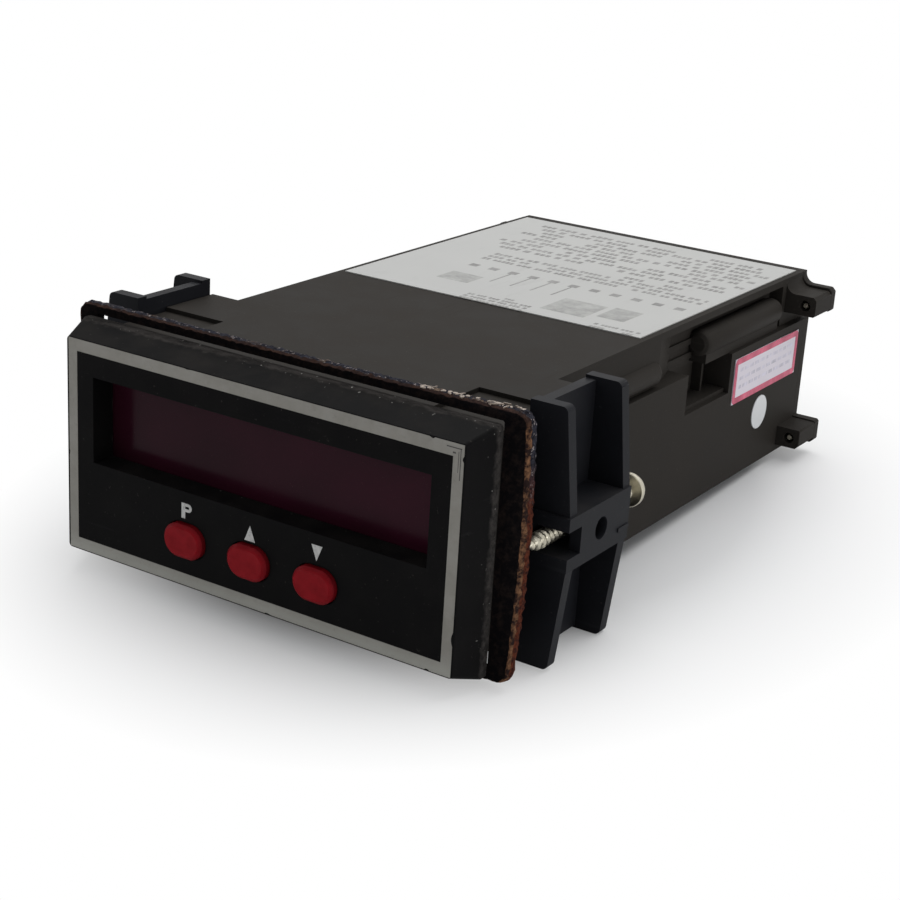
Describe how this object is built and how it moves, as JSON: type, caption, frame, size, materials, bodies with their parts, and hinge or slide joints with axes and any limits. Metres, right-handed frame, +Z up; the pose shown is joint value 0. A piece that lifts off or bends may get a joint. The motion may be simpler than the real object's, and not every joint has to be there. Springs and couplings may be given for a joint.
{
  "type": "digital panel meter",
  "caption": "Digital panel meter with a red display window, push buttons, a torn panel gasket and a screw clip on each side of its long case.",
  "frame": {"origin": "middle of the panel seat, the rear face of the bezel", "axes": "+Y runs back along the case, +Z is up, the front faces -Y"},
  "size_m": [0.1128, 0.164, 0.0525],
  "materials": {
    "case_plastic": "fine grain",
    "clip_plastic": "satin",
    "bezel_plastic": "fine grain",
    "window_plastic": "polished",
    "button_rubber": "satin",
    "gasket_rubber": "crusted",
    "zinc_steel": "zinc plated",
    "circuit_board": "varnished",
    "chip_plastic": "moulded",
    "terminal_plastic": "moulded",
    "core_steel": "varnished laminations",
    "coil_tape": "taped",
    "sink_aluminium": "extruded",
    "capacitor_sleeve": "sleeved",
    "relay_case": "moulded",
    "label_paper": "printed film"
  },
  "bodies": {
    "meter": {"bezel": "bezel_plastic", "window": "window_plastic", "gasket": "gasket_rubber", "case": "case_plastic", "rear_cover": "case_plastic", "cover_screws": "zinc_steel", "display_board": "circuit_board", "led_digits": "window_plastic", "tact_switches": "chip_plastic", "board_headers": "chip_plastic", "upper_board": "circuit_board", "lower_board": "circuit_board", "processor": "chip_plastic", "memory_chip": "chip_plastic", "driver_chips": "chip_plastic", "transformer_core": "core_steel", "transformer_bobbin": "coil_tape", "filter_capacitors": "capacitor_sleeve", "regulator": "chip_plastic", "heat_sink": "sink_aluminium", "relay": "relay_case", "terminal_block_upper": "terminal_plastic", "terminal_block_lower": "terminal_plastic", "terminal_screws": "zinc_steel", "top_label": "label_paper", "side_label": "label_paper", "round_sticker": "label_paper"},
    "p_button": {"button_p": "button_rubber"},
    "up_button": {"button_up": "button_rubber"},
    "down_button": {"button_down": "button_rubber"},
    "left_clip": {"clip_left": "clip_plastic"},
    "right_clip": {"clip_right": "clip_plastic"},
    "left_screw": {"clip_screw_left": "zinc_steel"},
    "right_screw": {"clip_screw_right": "zinc_steel"}
  },
  "joints": [
    {"name": "press_p", "type": "slide", "parent": "meter", "child": "p_button", "axis": [0, 1, 0], "range_m": [0, 0.001], "stiffness_N_per_m": 1200},
    {"name": "press_up", "type": "slide", "parent": "meter", "child": "up_button", "axis": [0, 1, 0], "range_m": [0, 0.001], "stiffness_N_per_m": 1200},
    {"name": "press_down", "type": "slide", "parent": "meter", "child": "down_button", "axis": [0, 1, 0], "range_m": [0, 0.001], "stiffness_N_per_m": 1200},
    {"name": "slide_left_clip", "type": "slide", "parent": "meter", "child": "left_clip", "axis": [0, 1, 0], "range_m": [0, 0.014]},
    {"name": "slide_right_clip", "type": "slide", "parent": "meter", "child": "right_clip", "axis": [0, 1, 0], "range_m": [0, 0.014]},
    {"name": "turn_left_screw", "type": "slide", "parent": "left_clip", "child": "left_screw", "axis": [0, 1, 0], "range_m": [0, 0.02]},
    {"name": "turn_right_screw", "type": "slide", "parent": "right_clip", "child": "right_screw", "axis": [0, 1, 0], "range_m": [0, 0.02]}
  ]
}
